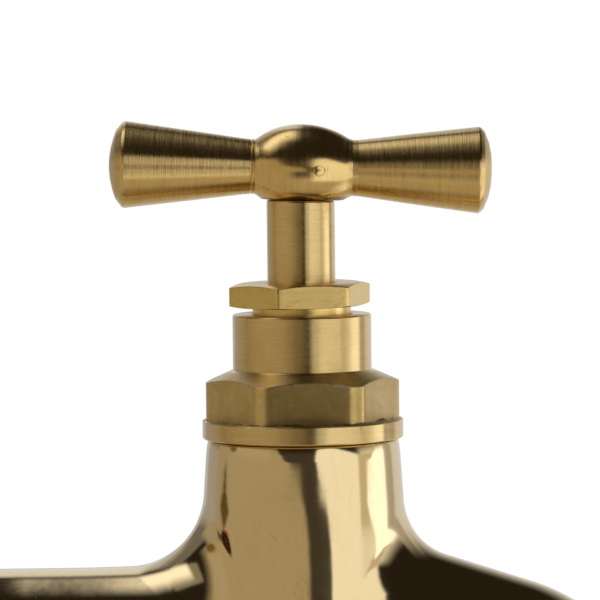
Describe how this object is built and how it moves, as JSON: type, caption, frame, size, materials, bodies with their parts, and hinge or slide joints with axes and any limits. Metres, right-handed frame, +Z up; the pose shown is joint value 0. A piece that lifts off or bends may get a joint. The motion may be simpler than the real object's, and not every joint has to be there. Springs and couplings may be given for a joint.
{
  "type": "hose bib",
  "caption": "Brass bib tap with a turned tee handle, rising spindle in a hexagon bonnet, side inlet arm, curved spout and barbed hose union.",
  "frame": {"origin": "centre of the shoulder face that meets the wall fitting, on the inlet's axis", "axes": "+X out from the wall towards the spout, +Z up along the spindle, +Y to the back as the tap is seen from its side"},
  "size_m": [0.1295, 0.032, 0.1549],
  "materials": {
    "polished_brass": "cast and mirror polished",
    "turned_brass": "turned, fine lathe lines",
    "milled_brass": "milled flats, satin",
    "red_fibre": "matt vulcanised fibre",
    "black_rubber": "matt",
    "white_packing": "waxy braided packing"
  },
  "bodies": {
    "tap_body": {"body": "polished_brass", "inlet_washer": "red_fibre", "bonnet": "turned_brass", "bonnet_washer": "red_fibre", "packing_ring_1": "white_packing", "packing_ring_2": "white_packing", "packing_ring_3": "white_packing"},
    "valve": {"jumper": "turned_brass", "tap_washer": "black_rubber", "jumper_plate": "turned_brass", "jumper_nut": "milled_brass"},
    "spindle_and_handle": {"spindle": "turned_brass", "tee_handle": "turned_brass", "handle_pin": "turned_brass", "jumper_peg": "turned_brass"},
    "gland_follower": {"gland_washer": "turned_brass"},
    "gland_screw": {"gland_nut": "milled_brass"},
    "tail": {"hose_tail": "turned_brass", "union_washer": "black_rubber"},
    "union": {"union_nut": "milled_brass"}
  },
  "joints": [
    {"name": "valve_lift", "type": "slide", "parent": "tap_body", "child": "valve", "axis": [0, 0, 1], "range_m": [0, 0.0063]},
    {"name": "spindle_turn", "type": "hinge", "parent": "valve", "child": "spindle_and_handle", "pos_m": [0.054, 0, 0.04], "axis": [0, 0, 1], "range_deg": [0, 900]},
    {"name": "follower_lift", "type": "slide", "parent": "tap_body", "child": "gland_follower", "axis": [0, 0, 1], "range_m": [0, 0.0041]},
    {"name": "gland_nut_turn", "type": "hinge", "parent": "gland_follower", "child": "gland_screw", "pos_m": [0.054, 0, 0.05], "axis": [0, 0, 1], "range_deg": [0, 1080]},
    {"name": "tail_drop", "type": "slide", "parent": "tap_body", "child": "tail", "axis": [0, 0, -1], "range_m": [0, 0.0092]},
    {"name": "union_nut_turn", "type": "hinge", "parent": "tail", "child": "union", "pos_m": [0.096, 0, -0.04], "axis": [0, 0, -1], "range_deg": [0, 1800]}
  ],
  "couplings": [
    {"joint": "valve_lift", "follows": "spindle_turn", "m_per_rad": 0.00039789},
    {"joint": "follower_lift", "follows": "gland_nut_turn", "m_per_rad": 0.00021279},
    {"joint": "tail_drop", "follows": "union_nut_turn", "m_per_rad": 0.00028871}
  ]
}
